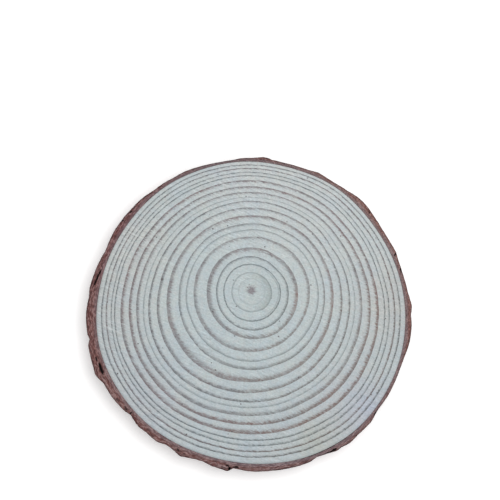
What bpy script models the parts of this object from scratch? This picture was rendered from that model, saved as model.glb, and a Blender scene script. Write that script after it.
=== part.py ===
"""A slice sawn square across a young pine trunk: the wood with its growth rings, and the bark round it.

Metres, with +Z along the trunk. The origin is on the lower sawn face, under the middle of the slice.
Directions round the trunk are in degrees, anticlockwise from +X, seen from above.
"""

import math

import bpy
import numpy as np
from mathutils import Vector, noise

MM = 0.001

# Driving dimensions, in millimetres
THICKNESS = 10.0
SEAM = 0.3  # between the wood and the inner face of the bark
RING_DIP_DEPTH = 0.15  # soft spring wood is worn lower just outside each ring
RING_DIP_START = 0.12
RING_DIP_WIDTH = 0.60

# How far the wood reaches from the pith, every 15 degrees
WOOD_REACH = (
    47.0, 44.7, 42.9, 41.8, 40.8, 40.0, 40.2, 40.4, 41.2, 42.2, 43.4, 45.0,
    47.1, 49.3, 50.8, 51.6, 52.3, 52.5, 53.2, 53.8, 54.0, 52.8, 51.2, 49.1,
)

# Mean radius of the rings that stand out in relief, from the pith to the bark
RING_RADII = (
    6.1, 8.8, 11.1, 13.8, 17.6, 20.3, 22.5, 25.5, 28.4, 30.9, 34.4, 36.7, 39.1, 41.0, 42.4, 44.0, 45.5,
)

# Young rings are round; later ones take the trunk's outline, and lean out at the lower left in mid-life
OUTLINE_POWER = 1.7
LEAN_WAY, LEAN = 200.0, 0.65
OVAL_WAY, OVAL = 239.0, 0.50
LEAN_AGE, LEAN_SPAN = 0.68, 0.20  # as shares of the trunk's radius

# The bark's plates: direction, and how far the bark reaches beyond the wood there
BARK_REACH = (
    (0, 1.30), (7, 1.15), (12, 1.30), (15, 1.75), (20, 1.45), (26, 1.45), (31, 1.60), (35, 1.85),
    (39, 2.00), (43, 1.70), (46, 1.20), (50, 1.00), (56, 0.95), (60.5, 1.35), (63, 1.05), (70, 1.00),
    (78, 1.10), (81, 1.20), (82.5, 1.60), (85, 1.55), (88, 1.20), (93, 1.00), (97, 0.80), (104, 0.80),
    (110, 0.95), (119, 1.20), (124, 1.05), (130, 1.20), (135, 1.30), (140, 1.75), (145, 1.85),
    (151, 2.10), (156, 2.30), (161, 2.10), (165, 1.90), (170, 2.40), (175, 2.70), (179, 3.00),
    (181, 2.50), (188, 2.70), (193, 2.60), (196.5, 2.30), (198.5, 3.10), (203, 3.40), (208, 3.80),
    (211, 2.90), (216, 2.60), (222, 2.30), (226, 1.85), (229, 2.35), (234, 2.45), (238, 2.55),
    (241, 1.95), (244, 2.30), (246.5, 3.00), (250, 2.30), (254, 2.10), (259, 2.90), (262.2, 3.30),
    (264, 2.15), (267, 2.05), (271, 2.35), (280, 2.20), (286, 2.00), (289, 1.70), (291.5, 1.20),
    (295, 1.40), (298, 1.95), (300, 1.80), (303, 2.20), (306, 1.80), (312.5, 1.75), (316, 1.15),
    (322, 1.15), (328, 1.00), (335, 1.15), (340, 1.80), (346, 1.90), (351, 1.80), (354.5, 2.05),
    (357, 1.50),
)
BARK_ROWS = 9  # rows of facets up the outer face
BARK_WAIST = 0.10  # how much thinner the plates are at the sawn faces than at mid-height
PLATE_WANDER = 1.6  # how far the plates stray sideways up the slice, in degrees

# The furrows between the plates follow the borders of cells, drawn out along the trunk
CELL_WIDTH = 6.0
CELL_STRETCH = 2.2
FURROW_WIDTH = 0.36  # as a share of the cell
FURROW_DEPTH = 0.80  # as a share of what the bark has beyond its least reach
BARK_LEAST = 0.80

# Gaps where a bark plate has lifted: direction, distance beyond the wood, length, width, skew, depth
LIFTED_PLATES = (
    (175.6, 1.30, 4.0, 0.45, 8.0, 6.0),
    (207.2, 1.70, 3.2, 0.50, 2.0, 6.0),
    (264.6, 1.35, 1.8, 0.35, -8.0, 4.0),
)

# Facets round the trunk. Each facet of the wood faces five of the bark
WOOD_STEPS = 48
BARK_STEPS = 240

WOOD_COLOUR = (0.49, 0.55, 0.56, 1.0)
BARK_COLOUR = (0.18, 0.115, 0.11, 1.0)


def clear_scene():
    for obj in list(bpy.data.objects):
        bpy.data.objects.remove(obj, do_unlink=True)


def new_collection(name):
    collection = bpy.data.collections.new(name)
    bpy.context.scene.collection.children.link(collection)
    return collection


def finish_material(name, colour, roughness):
    material = bpy.data.materials.new(name)
    material.use_nodes = True
    shader = material.node_tree.nodes["Principled BSDF"]
    shader.inputs["Base Color"].default_value = colour
    shader.inputs["Roughness"].default_value = roughness
    shader.inputs["Metallic"].default_value = 0.0
    return material


def wood_reach(way):
    """The wood's reach from the pith towards a direction: a smooth closed curve through WOOD_REACH."""
    waves = np.fft.rfft(WOOD_REACH) / len(WOOD_REACH)
    reach = waves[0].real
    for k in range(1, len(waves) - 1):
        turn = math.radians(way) * k
        reach += 2 * (waves[k].real * math.cos(turn) - waves[k].imag * math.sin(turn))
    return reach


MEAN_REACH = sum(WOOD_REACH) / len(WOOD_REACH)


def ring_reach(way, radius):
    """Where the ring of this mean radius lies, measured from the pith towards a direction."""
    age = radius / MEAN_REACH
    middle_years = math.exp(-(((age - LEAN_AGE) / LEAN_SPAN) ** 2))
    lean = LEAN * math.cos(math.radians(way - LEAN_WAY))
    oval = OVAL * math.cos(math.radians(2 * (way - OVAL_WAY)))
    outline = age**OUTLINE_POWER * (wood_reach(way) - MEAN_REACH)
    return radius + outline + middle_years * (lean + oval)


def bark_reach(way):
    """How far the bark reaches beyond the wood, in straight stretches between the corners of its plates."""
    ways, reaches = zip(*BARK_REACH)
    return float(np.interp(way, ways, reaches, period=360))


def furrow(way, height):
    """1 in the middle of a furrow between two plates, falling to 0 on the plates."""
    turn = math.radians(way)
    level = height * THICKNESS / CELL_STRETCH
    spot = Vector((MEAN_REACH * math.cos(turn), MEAN_REACH * math.sin(turn), level)) / CELL_WIDTH
    nearest, next_nearest = noise.voronoi(spot)[0][:2]
    away = min((next_nearest - nearest) / FURROW_WIDTH, 1.0)
    return 1 - away * away * (3 - 2 * away)


def bark_depth(way, height):
    """The bark's depth at a share of the slice's height: plates that swell at mid-height and stray sideways."""
    stray = PLATE_WANDER * math.sin(math.radians(3 * way) + math.pi * height)
    swell = 1 - BARK_WAIST * (2 * height - 1) ** 2
    depth = swell * bark_reach(way + stray)
    spare = max(depth - BARK_LEAST, 0.0)
    below_the_cut = 1 - height**8  # BARK_REACH already holds the furrows of the upper sawn face
    return depth - FURROW_DEPTH * spare * below_the_cut * furrow(way, height)


def turned(name, profile, steps, closed):
    """A mesh turned round Z from a profile of (radius, height) in millimetres, which runs down its outer side."""
    mesh = bpy.data.meshes.new(name)
    count = len(profile)
    edges = [(i, i + 1) for i in range(count - 1)]
    if closed:
        edges.append((count - 1, 0))
    mesh.from_pydata([(r * MM, 0, z * MM) for r, z in profile], edges, [])
    rough = bpy.data.objects.new(name, mesh)
    bpy.context.scene.collection.objects.link(rough)
    screw = rough.modifiers.new("Screw", "SCREW")
    screw.steps = screw.render_steps = steps
    screw.use_merge_vertices = True
    screw.merge_threshold = 1e-6
    bpy.context.view_layer.update()
    graph = bpy.context.evaluated_depsgraph_get()
    solid = bpy.data.meshes.new_from_object(rough.evaluated_get(graph))
    bpy.data.objects.remove(rough)
    bpy.data.meshes.remove(mesh)
    return solid


def reshape(mesh, place):
    """Moves each vertex to the radius that place(way, radius, height) gives, all in millimetres and degrees."""
    for vertex in mesh.vertices:
        x, y, z = vertex.co / MM
        radius = math.hypot(x, y)
        if radius < 1e-3:
            continue
        way = math.degrees(math.atan2(y, x)) % 360
        vertex.co.xy *= place(way, radius, z) / radius
    mesh.update()


def sawn_face():
    """Half of the wood's profile: one sawn face from the pith to the bark, with a dip outside each ring."""
    points = [(0.0, 0.0)]
    for radius in RING_RADII:
        points += [
            (radius, 0.0),
            (radius + RING_DIP_START, RING_DIP_DEPTH),
            (radius + RING_DIP_WIDTH, 0.0),
        ]
    points.append((MEAN_REACH, 0.0))
    return points


def make_wood(collection):
    upper = [(r, THICKNESS - dip) for r, dip in sawn_face()]
    lower = [(r, dip) for r, dip in reversed(sawn_face())]
    mesh = turned("wood", upper + lower, WOOD_STEPS, closed=False)
    reshape(mesh, lambda way, radius, height: ring_reach(way, radius))
    return place_piece("wood", mesh, collection, finish_material("wood", WOOD_COLOUR, 0.7))


def make_bark(collection):
    """Turned at a nominal size, where the radius is 1 on the inner face and 2 on the outer, and then shaped."""
    inner, outer = 1.0, 2.0
    profile = [(inner, 0.0), (inner, THICKNESS)]
    profile += [(outer, THICKNESS * (1 - row / BARK_ROWS)) for row in range(BARK_ROWS + 1)]
    mesh = turned("bark", profile, BARK_STEPS, closed=True)

    def place(way, radius, height):
        wall = wood_reach(way) + SEAM
        if radius < (inner + outer) / 2:
            return wall
        return wall - SEAM + bark_depth(way, height / THICKNESS)

    reshape(mesh, place)
    return place_piece("bark", mesh, collection, finish_material("bark", BARK_COLOUR, 0.9))


def place_piece(name, mesh, collection, material):
    mesh.materials.clear()
    mesh.materials.append(material)
    mesh.shade_smooth()
    mesh.set_sharp_from_angle(angle=math.radians(30))
    piece = bpy.data.objects.new(name, mesh)
    collection.objects.link(piece)
    return piece


def open_lifted_plates(bark, collection):
    """Cuts the narrow gaps behind the lifted plates, down from the upper sawn face."""
    for number, (way, beyond, length, width, skew, depth) in enumerate(LIFTED_PLATES):
        bpy.ops.mesh.primitive_cylinder_add(vertices=12, radius=0.5 * MM, depth=MM)
        cutter = bpy.context.object
        cutter.name = f"gap_{number + 1}"
        for holder in list(cutter.users_collection):
            holder.objects.unlink(cutter)
        collection.objects.link(cutter)
        reach = wood_reach(way) + beyond
        turn = math.radians(way)
        cutter.location = Vector((reach * math.cos(turn), reach * math.sin(turn), THICKNESS)) * MM
        cutter.rotation_euler.z = math.radians(way + 90 + skew)
        cutter.scale = (length, width, 2 * depth)
        cutter.parent = bark
        cutter.hide_render = True
        cutter.display_type = "WIRE"
        cut = bark.modifiers.new(cutter.name, "BOOLEAN")
        cut.operation = "DIFFERENCE"
        cut.object = cutter


def main():
    clear_scene()
    slice_parts = new_collection("wood_slice")
    cutters = new_collection("cutters")
    wood = make_wood(slice_parts)
    bark = make_bark(slice_parts)
    trunk = bpy.data.objects.new("trunk_axis", None)
    slice_parts.objects.link(trunk)
    reach = np.array([vertex.co.xy for vertex in bark.data.vertices])
    middle = (reach.min(axis=0) + reach.max(axis=0)) / 2
    trunk.location = (-middle[0], -middle[1], 0)
    wood.parent = trunk
    bark.parent = trunk
    open_lifted_plates(bark, cutters)


main()
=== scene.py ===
"""A sawn slice of a young pine trunk on a pale floor: the wood with its growth rings, and its bark.

Lengths in the sums below are millimetres, and directions round the trunk are degrees, anticlockwise from +X
as seen from above. The pith, where the rings start, lies off the slice's middle.
"""

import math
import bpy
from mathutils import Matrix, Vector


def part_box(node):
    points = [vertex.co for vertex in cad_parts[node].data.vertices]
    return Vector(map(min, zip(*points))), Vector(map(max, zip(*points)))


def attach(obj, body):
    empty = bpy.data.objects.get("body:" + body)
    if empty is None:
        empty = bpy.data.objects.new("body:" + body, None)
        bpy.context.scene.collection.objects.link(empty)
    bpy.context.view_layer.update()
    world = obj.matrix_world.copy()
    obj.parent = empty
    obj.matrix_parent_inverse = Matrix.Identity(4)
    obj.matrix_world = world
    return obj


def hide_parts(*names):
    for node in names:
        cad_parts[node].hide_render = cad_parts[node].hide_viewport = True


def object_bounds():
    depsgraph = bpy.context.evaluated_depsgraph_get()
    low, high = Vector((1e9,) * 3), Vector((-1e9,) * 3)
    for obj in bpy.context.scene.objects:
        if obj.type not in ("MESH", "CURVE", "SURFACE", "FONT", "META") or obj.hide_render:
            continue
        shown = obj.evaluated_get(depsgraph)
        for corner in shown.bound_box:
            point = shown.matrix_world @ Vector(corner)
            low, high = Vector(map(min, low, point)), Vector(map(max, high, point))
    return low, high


bl_info = {
    "name": "Wood Slice",
    "version": (1, 0, 0),
    "blender": (4, 5, 0),
    "location": "View3D > Sidebar > Wood Slice",
    "description": "Builds a sawn slice of a young pine trunk, its bark and a plain stage",
    "category": "Object",
}

import bpy
import numpy as np
from mathutils import Matrix, Vector, noise

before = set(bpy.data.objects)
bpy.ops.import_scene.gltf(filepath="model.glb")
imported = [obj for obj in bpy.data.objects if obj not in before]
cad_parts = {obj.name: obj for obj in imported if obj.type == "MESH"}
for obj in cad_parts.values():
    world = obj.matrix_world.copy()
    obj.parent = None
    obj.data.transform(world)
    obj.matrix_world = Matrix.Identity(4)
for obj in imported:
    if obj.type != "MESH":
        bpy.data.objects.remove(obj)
CAD_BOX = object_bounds()

MM = 0.001
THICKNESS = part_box("wood")[1].z / MM

# The slice's growth, as in its solid: how far the wood reaches from the pith, every 15 degrees
WOOD_REACH = (
    47.0, 44.7, 42.9, 41.8, 40.8, 40.0, 40.2, 40.4, 41.2, 42.2, 43.4, 45.0,
    47.1, 49.3, 50.8, 51.6, 52.3, 52.5, 53.2, 53.8, 54.0, 52.8, 51.2, 49.1,
)
MEAN_REACH = sum(WOOD_REACH) / len(WOOD_REACH)
OUTLINE_POWER = 1.7

# How the growth of some years leaves that outline: mean radius, then the amounts of one, two and three
# lobes round the trunk, as cosine and sine
LOBES = (
    (0.0, 0.0, 0.0, 0.0, 0.0, 0.0, 0.0),
    (6.2, -0.05, -0.10, 0.05, -0.05, 0.10, 0.0),
    (8.9, 0.05, -0.05, -0.05, -0.10, 0.10, 0.05),
    (11.3, 0.15, -0.05, -0.15, -0.20, 0.10, 0.05),
    (14.1, 0.20, 0.25, -0.05, -0.20, 0.05, 0.05),
    (17.9, -0.05, 0.50, 0.05, 0.15, 0.15, 0.20),
    (20.6, 0.15, 0.40, 0.0, 0.10, 0.10, 0.10),
    (22.7, 0.05, 0.35, -0.10, 0.15, 0.10, 0.10),
    (25.7, -0.40, 0.10, -0.10, 0.35, 0.05, 0.05),
    (28.6, -0.55, 0.0, -0.20, 0.45, 0.15, -0.05),
    (31.1, -0.65, -0.05, -0.20, 0.50, 0.15, -0.10),
    (34.6, -0.70, -0.10, -0.15, 0.40, 0.15, -0.10),
    (37.0, -0.55, -0.15, -0.10, 0.35, 0.15, -0.10),
    (39.4, -0.45, -0.10, -0.05, 0.25, 0.05, -0.10),
    (41.3, -0.40, 0.05, 0.05, 0.20, 0.0, -0.10),
    (42.5, -0.25, 0.05, -0.05, 0.15, 0.0, -0.05),
    (45.5, 0.0, 0.20, 0.05, 0.10, 0.05, 0.0),
    (46.6, 0.0, 0.0, 0.0, 0.0, 0.0, 0.0),
)

# Where rings of some years bulge out or in: direction, spread in degrees, mean radius, spread in radius,
# and how far
DENTS = (
    (296, 9, 38.0, 10.0, -0.38),
    (288, 9, 21.2, 2.5, -0.30),
    (320, 8, 39.0, 4.0, 0.20),
    (325, 10, 31.0, 2.0, 0.12),
    (340, 6, 38.0, 2.0, 0.20),
    (7, 9, 42.5, 3.5, -0.32),
    (30, 7, 31.3, 2.0, -0.32),
    (25, 8, 28.6, 1.2, -0.20),
    (26, 5, 40.0, 4.0, 0.15),
    (42, 18, 11.3, 1.5, -0.30),
    (40, 20, 8.9, 1.0, -0.12),
    (57, 7, 14.1, 1.5, -0.28),
    (55, 8, 20.5, 1.0, -0.30),
    (77, 8, 17.9, 1.5, 0.20),
    (75, 7, 25.7, 1.5, 0.32),
    (72, 8, 33.0, 2.0, 0.15),
    (100, 9, 21.5, 2.0, -0.24),
    (130, 9, 37.0, 4.0, -0.22),
    (160, 10, 38.0, 5.0, 0.22),
    (162, 8, 17.9, 1.2, 0.22),
    (168, 6, 22.7, 1.2, 0.20),
    (198, 8, 36.5, 2.0, -0.30),
    (205, 10, 20.5, 1.0, -0.32),
    (198, 6, 43.0, 2.0, -0.20),
    (228, 8, 27.2, 2.0, 0.28),
    (225, 5, 34.6, 1.2, -0.33),
    (247, 7, 35.5, 2.0, 0.30),
    (252, 7, 25.7, 1.2, 0.28),
    (243, 5, 20.5, 1.0, -0.20),
    (308, 18, 6.2, 1.2, 0.30),
    (60, 12, 45.5, 0.8, 0.20),
    (115, 8, 45.5, 0.8, 0.20),
)

# Growth rings, from the pith out: mean radius, how far the dark summer wood reaches inward from its sharp
# outer edge, how dark it is there, what share of that it keeps inward, how brown, and how broken up
RINGS = (
    (4.15, 0.45, 0.22, 0.6, 0.0, 0.3),
    (6.18, 0.45, 0.52, 0.7, 0.0, 0.3),
    (8.88, 0.42, 0.92, 0.7, 0.1, 0.3),
    (11.33, 0.68, 0.96, 0.55, 0.2, 0.2),
    (14.14, 1.24, 0.66, 0.98, 0.55, 0.2),
    (17.89, 1.00, 0.62, 0.95, 0.5, 0.3),
    (20.55, 0.55, 0.70, 0.6, 0.1, 0.3),
    (22.66, 0.66, 0.82, 0.7, 0.3, 0.3),
    (25.74, 1.12, 0.66, 0.97, 0.6, 0.2),
    (28.58, 0.76, 0.82, 0.8, 0.4, 0.3),
    (31.06, 0.60, 0.92, 0.75, 0.3, 0.4),
    (32.58, 0.42, 0.60, 0.5, 0.0, 0.6),
    (34.63, 0.76, 0.75, 0.85, 0.42, 0.3),
    (36.99, 0.86, 0.75, 0.97, 0.6, 0.2),
    (39.37, 0.86, 0.76, 0.97, 0.6, 0.2),
    (41.25, 0.38, 1.0, 0.7, 0.1, 0.4),
    (42.54, 0.42, 0.88, 0.7, 0.1, 0.5),
    (44.12, 0.44, 1.0, 0.8, 0.4, 0.4),
    (45.55, 0.44, 0.92, 0.8, 0.2, 0.4),
)
# A ring's sharp dark line, its fade outside, and how far inward its colours run, in widths of summer wood
RING_LINE = 0.30
RING_FADE = 0.14
RAMP_REACH = 2.0
# Two colour ramps hold the rings, because one has 32 stops at most: the first one's rings, where the second
# takes over, and the room before and after a ramp's rings
INNER_RINGS = 10
RAMP_SEAM = (29.4, 29.6)
RAMP_BEFORE = 2.5
RAMP_AFTER = 0.5
# A faint false ring inside the third and the grey inside the second, both towards +X, and the pith's mark
FALSE_RING = 8.2
RING_SHADE = (0.84, 0.84, 0.82)
PITH_MARK = (-0.19, 0.25)
# The soft wood outside a ring is worn down, deepest at the edge, and level again from the width on
WORN_EDGE = 0.12
WORN_WIDTH = 0.75
# The direction in which the saw's fine marks follow each other
SAW_WAY = 67.0

# Where the dark summer wood is wider or narrower: direction, spread in degrees, mean radius, spread in
# radius, and by what share
SWELLS = (
    (240, 70, 32.0, 14.0, 0.20),
    (60, 60, 32.0, 14.0, -0.08),
    (165, 32, 14.1, 1.6, 0.30),
    (350, 25, 14.1, 1.6, 0.08),
    (285, 40, 14.1, 1.6, -0.25),
    (60, 35, 14.1, 1.6, -0.12),
    (10, 14, 34.6, 1.2, 0.45),
    (15, 40, 25.7, 1.6, 0.22),
    (320, 35, 34.6, 1.2, 0.25),
    (170, 20, 28.6, 1.2, 0.30),
    (240, 20, 17.9, 1.2, 0.25),
)

# Soft casts of colour over the sawn face: direction, distance from the pith, spread, and what each one
# multiplies the colour by
CASTS = (
    (50.0, 44.0, 24.0, (1.13, 1.06, 1.035)),
    (100.0, 40.0, 11.0, (1.05, 1.01, 1.01)),
    (158.0, 42.0, 11.0, (1.06, 0.98, 0.945)),
    (190.0, 47.0, 10.0, (1.00, 0.945, 0.93)),
    (225.0, 50.0, 12.0, (0.96, 0.91, 0.93)),
    (270.0, 50.0, 16.0, (0.96, 0.94, 0.955)),
    (312.0, 50.0, 13.0, (0.975, 0.92, 0.93)),
    (355.0, 45.0, 10.0, (1.00, 0.93, 0.905)),
    (293.0, 51.0, 5.0, (0.97, 0.94, 0.87)),
    (314.0, 52.0, 5.0, (0.98, 0.98, 1.06)),
    (10.0, 5.0, 5.0, (0.93, 0.95, 0.955)),
)
# Small knots, resin specks and pits: direction, distance from the pith, radius, how dark
SPECKS = (
    (122.0, 22.7, 0.28, 0.95),
    (172.6, 27.9, 0.50, 0.78),
    (300.7, 16.3, 0.28, 0.80),
    (211.6, 48.5, 0.25, 1.00),
    (93.4, 29.4, 0.22, 0.80),
    (245.4, 26.8, 0.26, 0.85),
    (240.7, 25.4, 0.24, 0.75),
    (245.5, 48.5, 0.26, 0.90),
    (63.7, 39.2, 0.30, 0.60),
    (357.0, 42.5, 0.24, 0.65),
)

# The bark's plates: direction, and how far the bark reaches beyond the wood there
BARK_REACH = (
    (0, 1.54), (7.5, 1.29), (12, 1.43), (15, 1.88), (20, 1.67), (26, 1.68), (36.5, 2.29), (42, 2.07),
    (46, 1.42), (52.5, 1.13), (56, 1.24), (60.5, 1.62), (64.5, 1.18), (77, 1.09), (80, 1.28), (81, 1.20),
    (82.5, 1.58), (85, 1.76), (89, 1.24), (95, 1.09), (98, 0.78), (103.5, 0.77), (119, 1.35), (125, 1.13),
    (129.5, 1.31), (133.5, 1.25), (140, 1.87), (155.5, 2.43), (165, 1.89), (170, 2.55), (179, 3.16),
    (180.5, 3.12), (182, 2.83), (186, 3.28), (191.5, 3.29), (195, 3.10), (196.5, 2.67), (198.5, 3.46),
    (205.5, 3.66), (208, 4.18), (209.5, 3.80), (212, 2.92), (217, 2.96), (220.5, 2.68), (223.5, 2.35),
    (226, 1.65), (227.5, 2.06), (230.5, 2.58), (233.5, 2.32), (236, 2.62), (238, 2.68), (241, 1.95),
    (244, 2.28), (246.5, 3.12), (251.5, 2.22), (254, 2.14), (257.5, 2.83), (260.5, 2.99), (262, 3.23),
    (262.5, 3.10), (264, 2.14), (265.5, 2.12), (268.5, 2.46), (271, 2.51), (286, 2.04), (289, 1.73),
    (291.5, 1.03), (295, 1.25), (298, 1.92), (300, 1.68), (303, 2.09), (306.5, 1.69), (312.5, 1.70),
    (316, 1.07), (317.5, 0.94), (322.5, 1.21), (332.5, 1.03), (336, 1.22), (343, 2.06), (348.5, 2.15),
    (351.5, 1.86), (354.5, 2.35),
)
# The bark's outer face, as in its solid: it draws in below the middle by a share, its plates blur and
# wander there by some degrees, and furrows between tall cells take a share of what is past the least depth
BARK_WAIST = 0.10
PLATE_BLUR = 3.5
PLATE_WANDER = 1.6
PLATE_ROOM = 0.1
CELL_WIDTH = 6.0
CELL_STRETCH = 2.2
FURROW_WIDTH = 0.36
FURROW_DEPTH = 0.80
BARK_LEAST = 0.80
# Thin scales over it, warped by a seeded noise, the cracks between them, and the least depth that is left
SCALE_WIDTH = 3.1
SCALE_STRETCH = 1.9
SCALE_SEED = 5
CRACK_WIDTH = 0.16
SKIN_LEAST = 0.42

# Slow changes of the bark's colour: direction, spread, and what each one multiplies it by
BARK_CASTS = (
    (35.0, 50.0, (1.22, 1.30, 1.26)),
    (108.0, 26.0, (0.86, 0.92, 0.96)),
    (155.0, 28.0, (0.90, 0.80, 0.84)),
    (195.0, 24.0, (0.985, 0.925, 0.925)),
    (280.0, 34.0, (0.98, 1.06, 1.12)),
    (330.0, 20.0, (1.08, 1.12, 1.12)),
)

# Gaps in the sawn bark, behind lifted plates: direction, distance beyond the wood, length, width, skew and
# depth
GAPS = (
    (175.3, 1.50, 4.6, 0.42, 9.0, 6.0),
    (173.2, 1.15, 2.6, 0.24, 9.0, 2.0),
    (207.3, 1.65, 3.6, 0.62, 3.0, 6.0),
    (204.2, 1.85, 2.2, 0.26, -4.0, 2.0),
    (263.0, 2.45, 1.0, 0.80, 60.0, 6.0),
    (264.8, 1.55, 1.7, 0.42, -6.0, 4.0),
    (262.0, 1.50, 1.2, 0.26, 20.0, 1.5),
    (294.6, 1.25, 4.2, 0.42, 0.0, 3.0),
    (297.5, 1.25, 1.7, 0.62, 0.0, 4.0),
    (315.4, 0.95, 1.2, 0.34, 0.0, 2.0),
    (225.3, 1.30, 1.0, 0.30, 70.0, 1.5),
    (146.8, 1.55, 0.9, 0.36, 20.0, 1.5),
    (151.5, 1.90, 0.9, 0.28, 10.0, 1.2),
    (8.0, 1.05, 1.6, 0.26, 0.0, 1.2),
    (14.5, 1.30, 1.2, 0.30, 50.0, 1.2),
    (34.0, 1.50, 1.0, 0.24, 20.0, 1.0),
    (245.2, 1.60, 1.2, 0.28, 30.0, 1.5),
    (223.0, 1.45, 1.6, 0.22, 4.0, 1.0),
)

# The meshes: steps round the trunk, the least, usual and most that the wood's rows lie apart, the rows of
# the bark's outer face, and where across its sawn face rows lie, from the seam with the wood outward
WOOD_STEPS = 360
ROW_LEAST = 0.08
ROW_USUAL = 0.9
ROW_MOST = 1.3
BARK_STEPS = 1200
SKIN_ROWS = 34
FACE_SHARES = (0, 0.06, 0.14, 0.22, 0.3, 0.38, 0.46, 0.54, 0.62, 0.7, 0.78, 0.86, 0.93, 0.98)
SEAM = 0.02
# How thick the bark stays beside a gap and under it, and how far it may pass the box of the solids
GAP_WALL = 0.15
GAP_FLOOR = 0.6
PAST_SOLID = 0.9
# The bark's picture map is cut into lanes, each a part of the way round
LANES = 4

# The stage, in metres: the floor, how far it lies under the slice, the lamp, and where the camera looks
FLOOR_SIZE = 6.0
FLOOR_GAP = 0.00002
LAMP_SIZE = 0.70
LAMP_PLACE = (0.175, 0.14, 0.97)
AIM = (-0.00005, 0.01986)


def srgb(red, green, blue):
    """A linear colour from its usual 0 to 255 values."""

    def linear(value):
        share = value / 255
        return share / 12.92 if share <= 0.04045 else ((share + 0.055) / 1.055) ** 2.4

    return (linear(red), linear(green), linear(blue))


# Shapes


def wood_reach(way):
    """The wood's reach from the pith towards each direction: a smooth closed curve through WOOD_REACH."""
    waves = np.fft.rfft(WOOD_REACH) / len(WOOD_REACH)
    reach = np.full(np.shape(way), waves[0].real)
    for k in range(1, len(waves) - 1):
        turn = np.radians(way) * k
        reach = reach + 2 * (waves[k].real * np.cos(turn) - waves[k].imag * np.sin(turn))
    return reach


def turned(way, start):
    """How far directions are turned from another one, from -180 to 180."""
    return (way - start + 180) % 360 - 180


def across_face(way, reach):
    """(x, y) from the pith, for directions and distances."""
    turn = np.radians(way)
    return np.stack([reach * np.cos(turn), reach * np.sin(turn)], axis=-1)


def add_bumps(total, bumps, way, radius):
    """Adds soft bumps to the total, each round its own direction and mean radius."""
    for bump_way, wide, year, years_wide, amount in bumps:
        away = turned(way, bump_way) / wide
        total = total + amount * np.exp(-(away**2) - ((radius - year) / years_wide) ** 2)
    return total


def ring_reach(way, radius):
    """Where the ring of this mean radius lies, measured from the pith."""
    outline = (radius / MEAN_REACH) ** OUTLINE_POWER * (wood_reach(way) - MEAN_REACH)
    reach = radius + outline
    years, *amounts = zip(*LOBES)
    for lobes in (1, 2, 3):
        turn = np.radians(way * lobes)
        reach = reach + np.interp(radius, years, amounts[2 * lobes - 2]) * np.cos(turn)
        reach = reach + np.interp(radius, years, amounts[2 * lobes - 1]) * np.sin(turn)
    return add_bumps(reach, DENTS, way, radius)


def swell(way, radius):
    """How wide the dark summer wood is there, as a share of its usual width."""
    return add_bumps(np.ones(np.broadcast(way, radius).shape), SWELLS, way, radius)


def bark_reach(way):
    """How far the bark reaches beyond the wood at the upper face."""
    ways, reaches = zip(*BARK_REACH)
    return np.interp(way, ways, reaches, period=360)


def cells(way, height, width, stretch):
    """(distance from a border, the cell's middle, the spot) among tall cells over the bark's outer face."""
    turn = math.radians(way)
    spot = Vector((MEAN_REACH * math.cos(turn), MEAN_REACH * math.sin(turn), height / stretch)) / width
    distances, middles = noise.voronoi(spot)
    return distances[1] - distances[0], middles[0], spot


def smooth_step(value):
    """0 up to 0, 1 from 1, and smooth between them."""
    value = np.clip(value, 0.0, 1.0)
    return value * value * (3 - 2 * value)


def bark_depth(way, height):
    """(depth beyond the wood, the furrow's strength) of the bark at a height, as in its solid."""
    share = height / THICKNESS
    stray = PLATE_WANDER * (1 - share) * math.sin(math.radians(3 * way) + math.pi * share)
    waist = 1 - BARK_WAIST * max(1 - 2 * share, 0.0) ** 2
    blurred = bark_reach(way + stray + (1 - share) * PLATE_BLUR * np.array((-1.0, -0.5, 0.0, 0.5, 1.0)))
    depth = waist * min(float(blurred.mean()), float(bark_reach(way)) + PLATE_ROOM)
    border, _, _ = cells(way, height, CELL_WIDTH, CELL_STRETCH)
    furrow_and_shade = 1 - float(smooth_step(border / FURROW_WIDTH))
    spare = max(depth - BARK_LEAST, 0.0)
    furrow_and_shade *= 1 - share**8
    return depth - FURROW_DEPTH * spare * furrow_and_shade, furrow_and_shade


def bark_skin(way, height, relief):
    """(depth, share of painted shade in its furrows and cracks, tone) of the outer face: the plates, and
    thin scales whose lower edges lift.
    """
    depth, furrow_and_shade = bark_depth(way, height)
    turn = math.radians(way)
    around = Vector((math.cos(turn), math.sin(turn), 0.0)) * MEAN_REACH
    warp = noise.noise_vector((around + Vector((0, 0, height))) * 0.35) * 0.9
    border, middle, spot = cells(way + warp.x, height + warp.z * 1.6, SCALE_WIDTH, SCALE_STRETCH)
    tone = noise.noise(middle * 7.3) * 0.5 + 0.5
    crack = 1 - float(smooth_step(border / CRACK_WIDTH))
    lifted = (middle.z - spot.z) * 0.9
    fibre = noise.fractal(Vector((around.x * 1.1, around.y * 1.1, height * 0.22)), 0.6, 2.2, 4)
    fine = noise.fractal((around + Vector((0, 0, height * 0.7))) * 2.6, 0.7, 2.1, 3)
    thick = min(max((depth - 0.5) / 1.6, 0.25), 1.0)
    inside = 1 - (height / THICKNESS) ** 5
    ledge = inside * (0.30 * (tone - 0.5) + 0.20 * lifted - 0.22 * crack)
    rise = relief * thick * min(ledge + (0.04 + 0.08 * inside) * fibre + 0.03 * fine, 0.06)
    # How much painted shade darkens the furrows and the cracks between scales
    hollow = inside * min(1.0, 0.75 * furrow_and_shade + 0.8 * crack * (0.4 + 0.6 * thick))
    return max(depth + rise, SKIN_LEAST), hollow, tone


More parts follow.
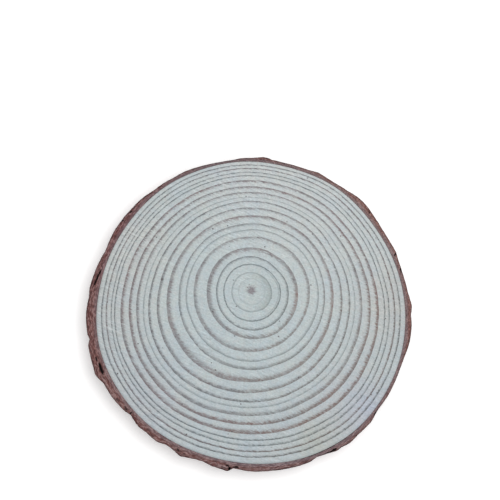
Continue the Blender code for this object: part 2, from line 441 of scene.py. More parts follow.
def gap_depth(way, beyond):
    """(depth, share of painted shade) of the gaps in the sawn bark, for arrays of directions and distances.
    """
    depth = np.zeros(np.shape(way))
    hollow = np.zeros(np.shape(way))
    for gap_way, gap_beyond, length, width, skew, deep in GAPS:
        along = np.radians(way - gap_way) * (wood_reach(gap_way) + gap_beyond)
        over = beyond - gap_beyond
        turn = math.radians(skew)
        a = along * math.cos(turn) + over * math.sin(turn)
        b = over * math.cos(turn) - along * math.sin(turn)
        nearness = (a / (length / 2)) ** 2 + (b / (width / 2)) ** 2
        here = smooth_step(1.5 - nearness)
        depth = np.maximum(depth, deep * here)
        # How much painted shade darkens the gaps
        hollow = np.maximum(hollow, here)
    return depth, hollow


def crumbs(flat):
    """Fine noise over places on the sawn bark."""
    spots = np.concatenate([flat * 1.3, np.zeros((*flat.shape[:2], 1))], axis=-1)
    values = [noise.fractal(Vector(spot), 0.6, 2.1, 4) for spot in spots.reshape(-1, 3)]
    return np.array(values).reshape(flat.shape[:2])


def round_mesh(name, points, facts, pole_ends, lanes):
    """A closed mesh from rows of points that run round the trunk, with the facts kept as attributes.

    With pole_ends, the first and last rows are single points; otherwise the last row joins the first.
    """
    rows, steps = points.shape[:2]
    if pole_ends:
        places = np.vstack([points[0, :1], points[1:-1].reshape(-1, 3), points[-1, :1]])
    else:
        places = points.reshape(-1, 3)

    def index(row, step):
        if not pole_ends:
            return (row % rows) * steps + step % steps
        if row == 0:
            return 0
        if row == rows - 1:
            return len(places) - 1
        return 1 + (row - 1) * steps + step % steps

    faces = []
    corners = []
    for row in range(rows - 1 if pole_ends else rows):
        for step in range(steps):
            around = [(row, step), (row + 1, step), (row + 1, step + 1), (row, step + 1)]
            if pole_ends and row == 0:
                around = around[:3]
            elif pole_ends and row == rows - 2:
                around = [around[0], around[1], around[3]]
            faces.append([index(*corner) for corner in around])
            corners += around
    mesh = bpy.data.meshes.new(name)
    mesh.from_pydata((places * MM).tolist(), [], faces)
    for fact, values in facts.items():
        flat = values.reshape(rows, steps, -1)
        if pole_ends:
            flat = np.vstack([flat[0, :1], flat[1:-1].reshape(-1, flat.shape[2]), flat[-1, :1]])
        flat = flat.reshape(len(places), -1)
        kind, field = ("FLOAT", "value") if flat.shape[1] == 1 else ("FLOAT_VECTOR", "vector")
        attribute = mesh.attributes.new(fact, kind, "POINT")
        attribute.data.foreach_set(field, flat.astype(np.float32).ravel())
    layout = mesh.uv_layers.new(name="OFBake")
    layout.data.foreach_set("uv", lanes(np.array(corners, float)).astype(np.float32).ravel())
    mesh.shade_smooth()
    mesh.validate()
    mesh.update()
    piece = bpy.data.objects.new(name, mesh)
    bpy.context.scene.collection.objects.link(piece)
    return piece


def pith_place():
    """Where the pith is in the frame, from the box of the wood's solid, because its outline is known."""
    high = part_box("wood")[1]
    way = np.arange(0, 360, 7.5)
    across, along = across_face(way, wood_reach(way)).max(axis=0)
    return np.array([high.x / MM - across, high.y / MM - along, 0.0])


# Materials


class Wire:
    """A node's output. Sums on wires add Math nodes, or Vector Math nodes where one carries a vector."""

    def __init__(self, finish, socket):
        self.finish = finish
        self.socket = socket
        self.many = socket.type in ("VECTOR", "RGBA")

    def join(self, operation, *values):
        many = any(isinstance(value, Wire) and value.many for value in values)
        kind = "ShaderNodeVectorMath" if many else "ShaderNodeMath"
        if many:
            values = [(value,) * 3 if isinstance(value, (int, float)) else value for value in values]
        return self.finish.node(kind, {"operation": operation}, dict(enumerate(values)))

    def __add__(self, other):
        return self.join("ADD", self, other)

    __radd__ = __add__

    def __sub__(self, other):
        return self.join("SUBTRACT", self, other)

    def __rsub__(self, other):
        return self.join("SUBTRACT", other, self)

    def __mul__(self, other):
        return self.join("MULTIPLY", self, other)

    def __truediv__(self, other):
        return self.join("DIVIDE", self, other)

    def __abs__(self):
        return self.join("ABSOLUTE", self)

    def larger(self, other):
        return self.join("MAXIMUM", self, other)

    def smaller(self, other):
        return self.join("MINIMUM", self, other)

    def rise(self, start, end):
        """0 up to start, 1 from end, and smooth between them."""
        sockets = {"Value": self, "From Min": start, "From Max": end}
        return self.finish.node("ShaderNodeMapRange", {"interpolation_type": "SMOOTHSTEP"}, sockets)

    def parts(self):
        """The three values of a vector."""
        node = self.finish.node("ShaderNodeSeparateXYZ", {}, {0: self}).socket.node
        return [Wire(self.finish, output) for output in node.outputs]


class Finish:
    """A material in the making, and one way to add any node to it."""

    def __init__(self, name, roughness):
        self.material = bpy.data.materials.new(name)
        self.material.use_nodes = True
        self.tree = self.material.node_tree
        self.shader = self.tree.nodes["Principled BSDF"]
        self.shader.inputs["Roughness"].default_value = roughness

    def feed(self, socket, value):
        if isinstance(value, Wire):
            self.tree.links.new(value.socket, socket)
        elif socket.type == "RGBA" and len(value) == 3:
            socket.default_value = (*value, 1.0)
        else:
            socket.default_value = value

    def node(self, kind, settings, sockets, output=0):
        """Adds a node. Its settings come first, because they can change which sockets it has."""
        made = self.tree.nodes.new(kind)
        for name, value in settings.items():
            if name in ("stops", "steps"):
                self.set_stops(made.color_ramp, value)
                made.color_ramp.interpolation = "LINEAR" if name == "stops" else "CONSTANT"
            else:
                setattr(made, name, value)
        for name, value in sockets.items():
            self.feed(made.inputs[name], value)
        return Wire(self, made.outputs[output])

    def set_stops(self, ramp, stops):
        """Gives a ramp its stops: all places, then the colours, because moving a stop can sort them."""
        while len(ramp.elements) < len(stops):
            ramp.elements.new(1.0)
        for element, (place, _) in zip(ramp.elements, stops):
            element.position = place
        for element, (_, colour) in zip(ramp.elements, stops):
            element.color = (*colour, 1.0)

    def fact(self, name, many=False):
        """A fact that the mesh keeps at its points."""
        return self.node("ShaderNodeAttribute", {"attribute_name": name}, {}, 1 if many else 2)

    def place(self):
        """The point on the piece, in millimetres."""
        return self.node("ShaderNodeTexCoord", {}, {}, 3) * (1 / MM)

    def vector(self, x, y, z):
        return self.node("ShaderNodeCombineXYZ", {}, {0: x, 1: y, 2: z})

    def unit(self, vector):
        """The vector's direction, 1 long."""
        return self.node("ShaderNodeVectorMath", {"operation": "NORMALIZE"}, {0: vector})

    def clouds(self, where, scale=1.0, detail=2.0, roughness=0.5):
        """Smooth noise round 0.5."""
        sockets = {"Vector": where, "Scale": scale, "Detail": detail, "Roughness": roughness}
        return self.node("ShaderNodeTexNoise", {}, sockets)

    def mix(self, share, first, second):
        """From the first colour to the second as the share goes from 0 to 1."""
        settings = {"data_type": "RGBA"}
        return self.node("ShaderNodeMix", settings, {0: share, 6: first, 7: second}, 2)

    def coats(self, colour, *coats):
        """A colour with others laid over it in turn, each by its own share."""
        for share, over in coats:
            colour = self.mix(share, colour, over)
        return colour

    def bump(self, height, distance):
        """Tilts the surface's shading by a height, where 1 is the distance in metres."""
        normal = self.node("ShaderNodeBump", {}, {"Height": height, "Distance": distance, "Strength": 1.0})
        self.feed(self.shader.inputs["Normal"], normal)


def ring_ramp(finish, growth, rings):
    """Of some rings: (nearness to the edge, how dark, how brown) and (half the width, body, breaks)."""
    start = rings[0][0] - RAMP_BEFORE
    span = rings[-1][0] + RAMP_AFTER - start
    shape_stops, look_stops = [], []
    for radius, width, dark, body, brown, broken in rings:
        before = (radius - RAMP_REACH * width - start) / span
        edge = (radius - start) / span
        after = edge + RING_FADE / span
        shape_stops += [(before, (0, dark, brown)), (edge, (1, dark, brown)), (after, (0, dark, brown))]
        look_stops.append((before, (width / 2, body, broken)))
    at = (growth - start) / span
    shape = finish.node("ShaderNodeValToRGB", {"stops": shape_stops}, {0: at})
    look = finish.node("ShaderNodeValToRGB", {"steps": look_stops}, {0: at})
    return shape, look


class SawnFace:
    """Where a point of the sawn face lies, and the noises that the face is drawn with.

    The saw's marks, their fine lines and the rays swing round 0, and the other noises round 0.5.
    """

    def __init__(self, finish):
        self.finish = finish
        self.growth = finish.fact("growth")
        self.place = finish.place() - tuple(pith_place())
        self.x, self.y, self.z = self.place.parts()
        self.flat = finish.vector(self.x, self.y, 0.0)
        self.out_x, self.out_y, _ = finish.unit(self.flat).parts()
        turn = math.radians(SAW_WAY)
        over = self.x * math.cos(turn) + self.y * math.sin(turn)
        along = self.y * math.cos(turn) - self.x * math.sin(turn)
        deep = self.z * 0.3
        saw = finish.clouds(finish.vector(over * 1.9, along * 0.13, deep), roughness=0.7)
        fine = finish.clouds(finish.vector(over * 3.0, along * 0.55, deep), detail=1.0, roughness=0.7)
        self.saw, self.fine = saw - 0.5, fine - 0.5
        sawn_side = 1 - self.out_x.rise(-0.2, 0.5) * 0.8
        self.saw_where = finish.clouds(self.place, scale=0.045, detail=1.0).rise(0.40, 0.60) * sawn_side
        self.scratches = saw.rise(0.56, 0.68) * (0.10 + self.saw_where * 0.9)
        self.grain = finish.clouds(self.place, scale=1.9, roughness=0.7)
        self.beads = finish.clouds(self.place + 31.0, scale=1.4, detail=1.0)
        self.mottle = finish.clouds(self.place + 53.0, scale=0.75, detail=3.0, roughness=0.6)
        self.rays = self.round_noise(58.0, 0.35, detail=3.0) - 0.5

    def round_noise(self, around, outward, detail=2.0, turn=0.0):
        """Noise with features that run out from the pith, or round it where outward is large."""
        deep = self.growth * outward + self.z * 0.4 + turn
        where = self.finish.vector(self.out_x * around, self.out_y * around, deep)
        return self.finish.clouds(where, detail=detail)


def ring_marks(face):
    """(strength, how brown) of the dark summer wood, with its beads, breaks and ragged inner edges."""
    finish = face.finish
    wobble = (face.round_noise(2.6, 0.22) - 0.5) * 0.3 + (face.round_noise(17.0, 0.9) - 0.5) * 0.3
    at = face.growth + wobble + face.rays * 0.10
    inner, inner_look = ring_ramp(finish, at, RINGS[:INNER_RINGS])
    outer, outer_look = ring_ramp(finish, at, RINGS[INNER_RINGS:])
    second_ramp = face.growth.rise(*RAMP_SEAM)
    near, dark, brown = finish.mix(second_ramp, inner, outer).parts()
    half_width, body, broken = finish.mix(second_ramp, inner_look, outer_look).parts()
    width = half_width * 2

    inward = (1 - near) * width * RAMP_REACH
    ragged = (face.round_noise(1.7, 0.5, turn=7.0) - 0.5) * 0.5 + face.rays * 0.9
    ragged = ragged + face.fine * (1.6 + face.saw_where * 3.2)
    ends = width * (finish.fact("swell") + ragged).larger(0.3).smaller(1.35)
    soft = 0.42 + face.saw_where * 0.58
    fade = (ends * (0.62 - soft * 0.5), ends * (1.06 + soft * 0.42))
    rest = 1 - (inward + (face.beads - 0.5) * 0.14).rise(*fade)
    line = 1 - (inward + (face.beads - 0.5) * 0.25).rise(0.05, RING_LINE)
    band = near.rise(0.0, 0.06) * line.larger(rest * body)

    breaks = broken * (1 - face.beads.rise(0.34, 0.60)) + face.scratches * 0.22
    breaks = breaks + face.saw.larger(0.0) * 0.5
    force = 0.76 + face.round_noise(1.3, 0.35, turn=5.0) * 0.4
    force = force + face.round_noise(6.0, 0.6, turn=15.0) * 0.36
    force = force * (1 + face.fine + (face.grain - 0.5) * 1.2)
    strength = dark * band * (1 - breaks).larger(0.0) * force
    false_ring = (1 - abs(at - FALSE_RING).rise(0.05, 0.30)) * face.out_x.rise(0.15, 0.7)
    strength = strength.larger(false_ring * (0.12 + face.beads * 0.4))
    return strength, brown * (0.1 + face.round_noise(2.2, 0.4, turn=9.0) * 1.6)


def spring_colour(face, colours):
    """Pale spring wood, with wide and close patches that are bluer."""
    wide = face.finish.clouds(face.place, scale=0.14) - 0.5
    close = face.finish.clouds(face.place - 17.0, scale=0.42, detail=4.0, roughness=0.7) - 0.5
    cool = 0.45 + wide * 0.6 + close * 0.9
    return face.finish.mix(cool.smaller(1.0).larger(0.0), colours.spring_wood, colours.spring_wood_cool)


def summer_colour(face, brown, colours):
    """The rings' colour, from thin to broad ones, and tanned towards the lower right."""
    summer = face.finish.mix(brown.smaller(1.0), colours.thin_ring, colours.summer_wood)
    tan = (face.out_x * 0.7 - face.out_y * 0.75 + (face.mottle - 0.5) * 0.8).rise(0.25, 0.95)
    tan = tan * (0.35 + brown)
    return summer * face.finish.vector(1 + tan * 0.13, 1 + tan * 0.03, 1 - tan * 0.18)


def saw_light_and_grain_tone(face):
    """What the saw marks, the grain and the rays multiply the colour by; the saw marks' light and dark
    lines are partly their own tone and partly painted light and shade of their ridges.
    """
    shade = 1.025 + face.saw * (0.26 + face.saw_where * 0.34)
    shade = shade + face.fine * (0.40 + face.saw_where * 0.20) + (face.mottle - 0.5) * 0.12
    return shade + (face.grain - 0.5) * 0.60 + face.scratches * 0.05 + face.rays * 0.12


def face_blush(face):
    """What faint pink flecks multiply the colour by."""
    blush = face.finish.clouds(face.place + 71.0, detail=3.0, roughness=0.75) - 0.5
    return face.finish.vector(1 + blush * 0.20, 1 - blush * 0.08, 1 - blush * 0.06)


def pith_mark(face):
    """How strongly the dark star of the pith shows."""
    finish = face.finish
    middle = finish.vector(face.x - PITH_MARK[0], face.y - PITH_MARK[1], 0.0)
    distance = finish.node("ShaderNodeVectorMath", {"operation": "LENGTH"}, {0: middle}, 1)
    arms = (finish.clouds(finish.unit(middle), scale=2.7) - 0.5) * 2.2
    star = 1.42 + arms + (face.grain - 0.5) * 2.4
    heart = 1 - (distance / star.larger(0.3)).rise(0.4, 1.3)
    return heart * (0.05 + face.grain * 1.5)


def grey_share(face):
    """How strongly the grey inside the second ring shows."""
    inside = (face.growth + (face.mottle - 0.5) * 1.6).rise(3.8, 5.4) * (1 - face.growth.rise(6.02, 6.2))
    return inside * face.out_x.rise(-0.05, 0.75)


def speck_marks(face):
    """How strongly the placed specks and a scatter of dust show."""
    finish = face.finish
    spots = 0.0
    for way, reach, radius, depth in SPECKS:
        turn = math.radians(way)
        spot = (reach * math.cos(turn), reach * math.sin(turn), 0)
        away = finish.node("ShaderNodeVectorMath", {"operation": "DISTANCE"}, {0: face.flat, 1: spot}, 1)
        spots = (1 - away.rise(radius * 0.4, radius * 1.25)) * depth + spots
    dust = finish.node("ShaderNodeTexVoronoi", {}, {"Vector": face.place, "Scale": 0.30, "Randomness": 1.0})
    return spots + (1 - dust.rise(0.045, 0.08)) * face.mottle.rise(0.42, 0.56) * 0.85


def wood_finish(colours):
    """Pale sawn pine: rings of darker summer wood, rays, saw marks, specks and the pith."""
    finish = Finish("wood", 0.78)
    face = SawnFace(finish)
    cast = finish.fact("cast", many=True)
    strength, brown = ring_marks(face)
    spring = spring_colour(face, colours) * cast
    summer = summer_colour(face, brown, colours) * cast
    colour = finish.mix(strength.smaller(0.96), spring, summer)
    # The saw marks' lines here are partly painted light and shade of their ridges
    colour = colour * saw_light_and_grain_tone(face) * face_blush(face)
    heart = pith_mark(face)
    colour = finish.mix(heart.smaller(1.0), colour, colours.pith)
    colour = finish.mix(grey_share(face), colour, colour * RING_SHADE)
    spots = speck_marks(face)
    colour = finish.mix(spots.smaller(1.0), colour, colours.speck)
    finish.feed(finish.shader.inputs["Base Color"], colour)
    finish.feed(finish.shader.inputs["Roughness"], 0.74 + (face.grain - 0.5) * 0.2 - strength * 0.08)
    height = face.saw + (face.grain - 0.5) * 0.35 + face.rays * 0.4
    finish.bump(height - spots * 1.5 - heart * 0.6, colours.saw_marks)
    return finish.material


def bark_finish(colours):
    """Flaky red-brown bark, a duller purplish brown next to the wood, with painted shade: nearly black in
    its gaps, and darker in its furrows, its cracks and along its outer edges.
    """
    finish = Finish("bark", 0.92)
    beyond = finish.fact("beyond")
    side = finish.fact("side")
    hollow = finish.fact("hollow")
    place = finish.place()
    x, y, z = place.parts()
    pith = pith_place()
    out_x, out_y, _ = finish.unit(finish.vector(x - pith[0], y - pith[1], 0.0)).parts()

    def round_noise(around, depth, detail, roughness):
        """Noise round 0.5, with features that are shorter round the trunk the larger around is."""
        where = finish.vector(out_x * around, out_y * around, depth)
        return finish.clouds(where, 1.0, detail, roughness)

    warp = (finish.clouds(place, scale=0.5) - 0.5) * 1.2
    depth = beyond * 0.6 + finish.fact("share") * 1.1 + warp
    layers = round_noise(11.0, depth * 1.9, 3.0, 0.75)
    flakes = round_noise(34.0, depth * 2.7, 1.0, 0.6)
    patches = round_noise(9.0, beyond * 0.6 + z * 0.05, 3.0, 0.55)
    fibres = round_noise(120.0, z * 0.35, 3.0, 0.6)
    grit = finish.clouds(place, scale=2.3, roughness=0.8)

    zone = (beyond + (patches - 0.5) * 1.5).rise(0.45, 1.35)
    bold = 1 - (out_x * 0.9 + out_y * 0.4).rise(-0.1, 0.7) * 0.55
    sawn = finish.coats(
        colours.inner_bark,
        (zone, colours.outer_bark),
        ((1 - layers).rise(0.46, 0.62) * (0.25 + zone * 0.6) * bold, colours.deep_red),
        (layers.rise(0.52, 0.66) * 0.6 * bold, colours.pale_cork),
        ((1 - flakes).rise(0.50, 0.66) * (0.2 + zone * 0.5) * bold, colours.furrow_and_shade),
        (flakes.rise(0.50, 0.64) * 0.65 * bold, colours.pale_cork),
        ((1 - beyond.rise(0.04, 0.34)) * 0.2, colours.furrow_and_shade),
        # Painted shade along the sawn face's outer edge
        (finish.fact("edge") * 0.6, colours.furrow_and_shade),
    )
    scales = finish.coats(
        colours.deep_red,
        (finish.fact("tone"), colours.outer_bark),
        (patches.rise(0.42, 0.66) * 0.6, colours.weathered),
        (fibres.rise(0.50, 0.68) * 0.5, colours.pale_cork),
    )
    colour = finish.mix(side, sawn, scales) * finish.fact("cast", many=True)
    colour = colour * (0.84 + bold * 0.06 + (grit - 0.5) * (4.0 - bold * 2.7) + fibres * 0.18)
    # Painted shade in the furrows, cracks and gaps, nearly black deep in the sawn face's gaps
    colour = finish.coats(
        colour,
        (hollow * (1 - side * 0.6), colours.furrow_and_shade),
        ((hollow * (1 - side)).rise(0.2, 0.6), colours.gap),
    )
    finish.feed(finish.shader.inputs["Base Color"], colour)
    finish.feed(finish.shader.inputs["Roughness"], 0.86 + (grit - 0.5) * 0.2)
    finish.bump(grit * 0.9 + layers * (1 - side) * 0.8 + fibres * side, colours.bark_grain)
    return finish.material


# Settings that a user can change


def colour_setting(name, description, default):
    """A colour that a user can change."""
    return bpy.props.FloatVectorProperty(
        name=name, description=description, default=default, subtype="COLOR", size=3, min=0.0, max=1.0
    )


def depth_setting(name, description, default, most):
    """A small depth in metres that a user can change."""
    return bpy.props.FloatProperty(
        name=name, description=description, default=default, min=0.0, max=most, precision=5, unit="LENGTH"
    )


class SliceShape(bpy.types.PropertyGroup):
    """How deep the slice's fine relief is."""

    ring_wear: depth_setting(
        "Ring wear", "How deep the soft spring wood is worn just outside each ring", 0.00006, 0.00015
    )
    bark_relief: bpy.props.FloatProperty(
        name="Bark relief",
        description="How far the bark's scales stand out, as a share of their usual height",
        default=1.0,
        min=0.0,
        max=1.5,
    )


class WoodColours(bpy.types.PropertyGroup):
    """The colours of the sawn wood."""

    spring_wood: colour_setting("Spring wood", "Pale wood between the rings", srgb(180, 187, 183))
    spring_wood_cool: colour_setting("Cool spring wood", "Its bluer patches", srgb(163, 178, 188))
    summer_wood: colour_setting("Summer wood", "The broad rings", srgb(111, 82, 83))
    thin_ring: colour_setting("Thin ring", "The narrow rings", srgb(73, 87, 92))
    pith: colour_setting("Pith", "The mark in the middle of the rings", srgb(116, 106, 111))
    speck: colour_setting("Speck", "Small knots and resin", srgb(72, 58, 62))
    saw_marks: depth_setting("Saw marks", "How deep the fine marks of the saw are", 0.00004, 0.0003)


class BarkColours(bpy.types.PropertyGroup):
    """The colours of the bark."""

    inner_bark: colour_setting("Inner bark", "The smooth zone next to the wood", srgb(111, 91, 93))
    outer_bark: colour_setting("Outer bark", "The flaky zone outside it", srgb(114, 76, 71))
    pale_cork: colour_setting("Pale cork", "Light streaks in it", srgb(154, 128, 126))
    deep_red: colour_setting("Deep red", "Its darkest scales", srgb(88, 42, 40))
    weathered: colour_setting("Weathered", "Grey patches on its outer side", srgb(120, 102, 97))
    # Dark flecks and the line beside the wood, and also painted shade in the furrows, cracks and gaps and
    # along the sawn faces' outer edges
    furrow_and_shade: colour_setting("Furrow", "Between the scales and along the edges", srgb(52, 34, 35))
    # Painted shade, nearly black, inside the gaps behind lifted plates
    gap: colour_setting("Gap", "Inside the gaps behind lifted plates", srgb(24, 8, 10))
    bark_grain: depth_setting("Bark grain", "How rough the bark's surface is", 0.0003, 0.001)


class StageSettings(bpy.types.PropertyGroup):
    """The floor, the light and the camera."""

    floor_colour: colour_setting("Floor", "The floor's colour", (0.93, 0.93, 0.93))
    floor_glow: bpy.props.FloatProperty(
        name="Floor glow",
        description="Light that the floor gives off, as a lit white table does",
        default=0.25,
        min=0.0,
    )
    sky: bpy.props.FloatProperty(
        name="Soft light", description="Even light from all round", default=0.62, min=0.0
    )
    lamp: bpy.props.FloatProperty(
        name="Lamp", description="The large lamp's power", default=5.3, min=0.0, unit="POWER"
    )
    camera_distance: bpy.props.FloatProperty(
        name="Camera distance",
        description="From the slice to the camera",
        default=0.75,
        min=0.3,
        unit="LENGTH",
    )
    camera_tilt: bpy.props.FloatProperty(
        name="Camera tilt",
        description="How far the camera stands from straight above",
        default=math.radians(4.0),
        min=0.0,
        max=math.radians(60.0),
        subtype="ANGLE",
    )
    camera_way: bpy.props.FloatProperty(
        name="Camera side",
        description="The direction in which the camera stands off",
        default=math.radians(225.0),
        subtype="ANGLE",
    )
    view_width: bpy.props.FloatProperty(
        name="View width",
        description="How much the picture's width shows at the sawn face",
        default=0.1547,
        unit="LENGTH",
    )


# Operators


def tinted(cast, share, colour):
    """The cast of colour with another one laid over it by a share."""
    return cast * (1 + share[..., None] * (np.array(colour) - 1))


def wood_cast(way, reach):
    """What the soft casts of colour multiply the wood by."""
    x, y = np.moveaxis(across_face(way, reach), -1, 0)
    cast = np.ones((*way.shape, 3))
    for cast_way, distance, spread, colour in CASTS:
        turn = math.radians(cast_way)
        away = (x - distance * math.cos(turn)) ** 2 + (y - distance * math.sin(turn)) ** 2
        cast = tinted(cast, np.exp(-away / (2 * spread**2)), colour)
    return cast


def bark_cast(way):
    """What the slow changes of colour round the trunk multiply the bark by."""
    cast = np.ones((*way.shape, 3))
    for cast_way, spread, colour in BARK_CASTS:
        cast = tinted(cast, np.exp(-((turned(way, cast_way) / spread) ** 2)), colour)
    return cast


def ring_lines():
    """Mean radii of the wood mesh's rows: close together where the face is worn beside a ring."""
    lines = [0.0, 0.9, 1.9, 2.9]
    for radius, *_ in RINGS:
        lines += [radius + step for step in (-0.5, 0.0, WORN_EDGE, 0.34, WORN_WIDTH)]
    lines = sorted(line for line in lines if line < MEAN_REACH - 0.3)
    kept = [lines[0]]
    for line in lines[1:]:
        while line - kept[-1] > ROW_MOST:
            kept.append(kept[-1] + min(ROW_USUAL, (line - kept[-1]) / 2))
        if line - kept[-1] > ROW_LEAST:
            kept.append(line)
    return np.array(kept + [MEAN_REACH])


def worn(lines, depth):
    """How far below the sawn face the rows lie."""
    low = np.zeros(len(lines))
    for radius, _, dark, *_ in RINGS:
        beyond = lines - radius
        level = np.clip(1 - (beyond - WORN_EDGE) / (WORN_WIDTH - WORN_EDGE), 0, 1)
        dip = np.clip(beyond / WORN_EDGE, 0, 1) * level**1.5
        low = np.maximum(low, depth * dip * dark)
    return low


def over_rows(values):
    """Each value all along its row of the bark."""
    return np.repeat(np.array(values, float)[:, None], BARK_STEPS, axis=1)


def bark_shape(relief):
    """(points, facts) of the bark, row by row: the upper sawn face, the outer face and the lower face."""
    noise.seed_set(SCALE_SEED)
    ways = np.linspace(0, 360, BARK_STEPS, endpoint=False)
    heights = THICKNESS * (1 - (np.arange(SKIN_ROWS) + 0.5) / SKIN_ROWS)
    skin = np.array([[bark_skin(way, height, relief) for way in ways] for height in heights])
    depth, hollow, tone = np.moveaxis(skin, -1, 0)
    rim = np.array([bark_skin(way, THICKNESS, relief)[0] for way in ways])
    foot = np.array([bark_skin(way, 0.0, relief)[0] for way in ways])
    upper_share, under_share = over_rows(FACE_SHARES), over_rows(FACE_SHARES[::-2])
    upper = SEAM + upper_share * (rim - SEAM)
    under = SEAM + under_share * (foot - SEAM)
    beyond = np.vstack([upper, depth, under])
    around = np.broadcast_to(ways, beyond.shape)
    flat = across_face(around, wood_reach(around) + beyond)

    # The gaps' depth, and in dark how much painted shade they get
    pits, dark = gap_depth(around[: len(upper)], upper)
    narrowest = np.minimum.accumulate(depth, axis=0)
    room = (narrowest[None] > upper[:, None, :] + GAP_WALL).mean(axis=1) * THICKNESS
    pits = np.minimum(pits, np.maximum(room - GAP_FLOOR, 0.0))
    crumble = smooth_step((upper_share - 0.72) / 0.28) * 0.30 + np.clip(upper_share * 4, 0, 1) * 0.10
    top = THICKNESS - pits - crumble * (0.5 + np.clip(crumbs(flat[: len(upper)]) + 0.3, 0, 1.2))
    base = 0.02 + smooth_step((under_share - 0.8) / 0.2) * 0.2
    height = np.vstack([top, over_rows(heights), base])
    points = np.concatenate([flat + pith_place()[:2], height[..., None]], axis=-1)
    low, high = (np.array(corner) / MM for corner in CAD_BOX)
    points = np.clip(points, low - PAST_SOLID, high + PAST_SOLID)
    points[..., 2] = np.clip(points[..., 2], 0.0, THICKNESS)

    # How strongly painted shade darkens each sawn face towards its outer edge, kept as the fact edge
    upper_rim_shade, under_rim_shade = (smooth_step((share - 0.75) / 0.25) for share in (upper_share, under_share))
    upper_none, skin_none, under_none = (np.zeros(rows.shape) for rows in (upper, depth, under))
    facts = {
        "beyond": beyond,
        "side": np.vstack([upper_none, skin_none + 1, under_none]),
        "hollow": np.vstack([dark, hollow, under_none]),
        "tone": np.vstack([upper_none + 0.5, tone, under_none + 0.5]),
        "share": np.vstack([upper_share, skin_none + 1, under_share]),
        "cast": bark_cast(around),
        "edge": np.vstack([upper_rim_shade, skin_none, under_rim_shade]),
    }
    return points, facts


class SLICE_OT_wood(bpy.types.Operator):
    """Build the wood, with its growth rings worn into both sawn faces"""

    bl_idname = "slice.wood"
    bl_label = "Wood"

    def execute(self, context):
        lines = ring_lines()
        low = worn(lines, context.scene.slice_shape.ring_wear / MM)
        radius = np.concatenate([lines, lines[::-1]])[:, None]
        height = np.concatenate([THICKNESS - low, low[::-1]])[:, None]
        way = np.linspace(0, 360, WOOD_STEPS, endpoint=False)[None, :]
        reach = np.where(radius > 0, ring_reach(way, radius), 0.0)
        reach = np.minimum(reach, wood_reach(way) - 0.01 * (radius < MEAN_REACH))
        radius, height, way = np.broadcast_arrays(radius, height, way)
        points = np.concatenate([across_face(way, reach) + pith_place()[:2], height[..., None]], axis=-1)
        facts = {"growth": radius, "swell": swell(way, radius), "cast": wood_cast(way, reach)}
        map_size = 2.04 * max(WOOD_REACH)

        def lanes(corners):
            """The upper face on the map's left, and the lower face on its right."""
            row = corners[:, 0].astype(int)
            turn = 2 * math.pi * corners[:, 1] / WOOD_STEPS
            out = reach[row, corners[:, 1].astype(int) % WOOD_STEPS]
            under = row >= len(lines)
            mirrored = np.where(under, -1, 1)
            across = np.where(under, 0.75, 0.25) + mirrored * out * np.cos(turn) / map_size / 2
            return np.stack([across, 0.5 + out * np.sin(turn) / map_size], axis=-1)

        wood = round_mesh("sawn_wood", points, facts, True, lanes)
        wood.data.materials.append(wood_finish(context.scene.wood_colours))
        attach(wood, "root")
        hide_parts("wood")
        return {"FINISHED"}


class SLICE_OT_bark(bpy.types.Operator):
    """Build the bark: its sawn faces with their gaps, and its flaky outer side"""

    bl_idname = "slice.bark"
    bl_label = "Bark"

    def execute(self, context):
        points, facts = bark_shape(context.scene.slice_shape.bark_relief)

        def lanes(corners):
            """Lanes one above another, each a part of the way round."""
            face_step = corners.reshape(-1, 4, 2)[:, :, 1].min(axis=1)
            lane = np.repeat(np.floor(face_step * LANES / BARK_STEPS), 4)
            across = corners[:, 1] * LANES / BARK_STEPS - lane
            up = 0.02 + 0.96 * corners[:, 0] / len(points)
            return np.stack([0.01 + 0.98 * across, (lane + up) / LANES], axis=-1)

        bark = round_mesh("flaky_bark", points, facts, False, lanes)
        bark.data.materials.append(bark_finish(context.scene.bark_colours))
        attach(bark, "root")
        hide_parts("bark")
        return {"FINISHED"}


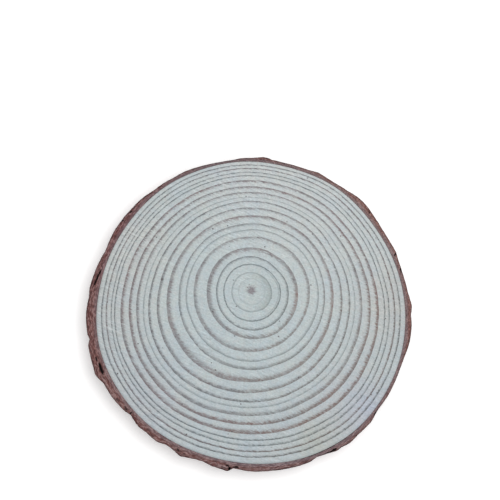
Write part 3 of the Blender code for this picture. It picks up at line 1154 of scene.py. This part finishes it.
class SLICE_OT_stage(bpy.types.Operator):
    """Set up the plain floor, the soft light and the camera"""

    bl_idname = "slice.stage"
    bl_label = "Stage"

    def execute(self, context):
        scene = context.scene
        settings = scene.stage_settings
        bpy.ops.mesh.primitive_plane_add(size=FLOOR_SIZE, location=(0, 0, -FLOOR_GAP))
        floor = context.object
        floor.name = "floor"
        finish = Finish("floor", 0.9)
        finish.feed(finish.shader.inputs["Base Color"], tuple(settings.floor_colour))
        finish.shader.inputs["Emission Color"].default_value = (1, 1, 1, 1)
        finish.shader.inputs["Emission Strength"].default_value = settings.floor_glow
        finish.shader.inputs["Specular IOR Level"].default_value = 0.0
        floor.data.materials.append(finish.material)

        world = bpy.data.worlds.new("soft_light")
        world.use_nodes = True
        sky = world.node_tree.nodes["Background"]
        sky.inputs["Color"].default_value = (1, 1, 1, 1)
        sky.inputs["Strength"].default_value = settings.sky
        scene.world = world
        scene.view_settings.view_transform = "Standard"

        lamp = bpy.data.lights.new("large_lamp", "AREA")
        lamp.shape = "DISK"
        lamp.size = LAMP_SIZE
        lamp.energy = settings.lamp
        lit = bpy.data.objects.new("large_lamp", lamp)
        lit.location = LAMP_PLACE
        lit.rotation_euler = (-lit.location).to_track_quat("-Z", "Y").to_euler()
        scene.collection.objects.link(lit)

        camera = bpy.data.cameras.new("camera")
        camera.lens = camera.sensor_width * settings.camera_distance / settings.view_width
        camera.clip_start = 0.01
        camera.clip_end = 20.0
        eye = bpy.data.objects.new("camera", camera)
        aim = Vector((*AIM, THICKNESS * MM))
        tilt, side = settings.camera_tilt, settings.camera_way
        back = Vector((math.sin(tilt) * math.cos(side), math.sin(tilt) * math.sin(side), math.cos(tilt)))
        right = Vector((0, 1, 0)).cross(back).normalized()
        facing = Matrix((right, back.cross(right), back)).transposed().to_4x4()
        eye.matrix_world = Matrix.Translation(aim + back * settings.camera_distance) @ facing
        scene.collection.objects.link(eye)
        scene.camera = eye
        return {"FINISHED"}


class SLICE_PT_panel(bpy.types.Panel):
    """The slice's settings and what builds it"""

    bl_idname = "SLICE_PT_panel"
    bl_label = "Wood Slice"
    bl_space_type = "VIEW_3D"
    bl_region_type = "UI"
    bl_category = "Wood Slice"

    def draw(self, context):
        for name, settings in SETTINGS.items():
            box = self.layout.box()
            box.label(text=settings.__doc__)
            for setting in settings.__annotations__:
                box.prop(getattr(context.scene, name), setting)
        for operator in OPERATORS:
            self.layout.operator(operator.bl_idname)


SETTINGS = {
    "slice_shape": SliceShape,
    "wood_colours": WoodColours,
    "bark_colours": BarkColours,
    "stage_settings": StageSettings,
}
OPERATORS = (SLICE_OT_wood, SLICE_OT_bark, SLICE_OT_stage)


def register():
    """Adds the settings, the operators and the panel."""
    for name, settings in SETTINGS.items():
        bpy.utils.register_class(settings)
        setattr(bpy.types.Scene, name, bpy.props.PointerProperty(type=settings))
    for made in (*OPERATORS, SLICE_PT_panel):
        bpy.utils.register_class(made)


def unregister():
    """Takes them away again."""
    for made in reversed((*OPERATORS, SLICE_PT_panel)):
        bpy.utils.unregister_class(made)
    for name, settings in SETTINGS.items():
        delattr(bpy.types.Scene, name)
        bpy.utils.unregister_class(settings)


def main():
    """Builds the slice and its stage."""
    register()
    bpy.ops.slice.wood()
    bpy.ops.slice.bark()
    bpy.ops.slice.stage()


if __name__ == "__main__":
    main()
